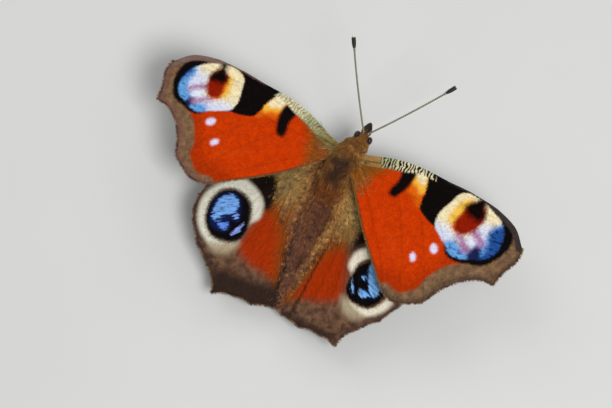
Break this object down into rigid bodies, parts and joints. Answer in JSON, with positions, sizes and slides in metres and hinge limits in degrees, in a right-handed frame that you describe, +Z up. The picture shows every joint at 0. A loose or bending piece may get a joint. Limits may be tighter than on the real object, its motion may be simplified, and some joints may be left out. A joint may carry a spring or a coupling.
{
  "type": "peacock butterfly",
  "caption": "Life-size butterfly standing with all four wings spread flat, red above with a ringed eyespot on each wing, scalloped edges and clubbed feelers.",
  "frame": {"origin": "on the floor under the middle of the whole box", "axes": "+Z up, the head faces -Y, the butterfly's left wings reach to +X; X is the wing span"},
  "size_m": [0.0658, 0.0482, 0.0145],
  "materials": {
    "red_scales": "matte overlapping wing scales, orange red with black, cream and blue markings above, near black below",
    "rust_scales": "matte overlapping wing scales, rust red with a cream ringed blue eyespot above, near black below",
    "golden_hair": "short golden brown hair",
    "abdomen_hair": "short purplish brown hair and scales",
    "eye": "glossy dark brown compound eye",
    "feeler": "pale shaft with dark rings",
    "club": "dark club with a pale tip",
    "leg": "brown scaled leg"
  },
  "bodies": {
    "root": {"thorax": "golden_hair", "head": "golden_hair", "abdomen": "abdomen_hair", "proboscis": "leg", "eye_left": "eye", "palp_left": "golden_hair", "antenna_left_shaft": "feeler", "antenna_left_club": "club", "forewing_left": "red_scales", "hindwing_left": "rust_scales", "foreleg_left": "golden_hair", "midleg_left_femur": "leg", "midleg_left_tibia": "leg", "midleg_left_tarsus": "leg", "hindleg_left_femur": "leg", "hindleg_left_tibia": "leg", "hindleg_left_tarsus": "leg", "eye_right": "eye", "palp_right": "golden_hair", "antenna_right_shaft": "feeler", "antenna_right_club": "club", "forewing_right": "red_scales", "hindwing_right": "rust_scales", "foreleg_right": "golden_hair", "midleg_right_femur": "leg", "midleg_right_tibia": "leg", "midleg_right_tarsus": "leg", "hindleg_right_femur": "leg", "hindleg_right_tibia": "leg", "hindleg_right_tarsus": "leg"}
  },
  "joints": []
}
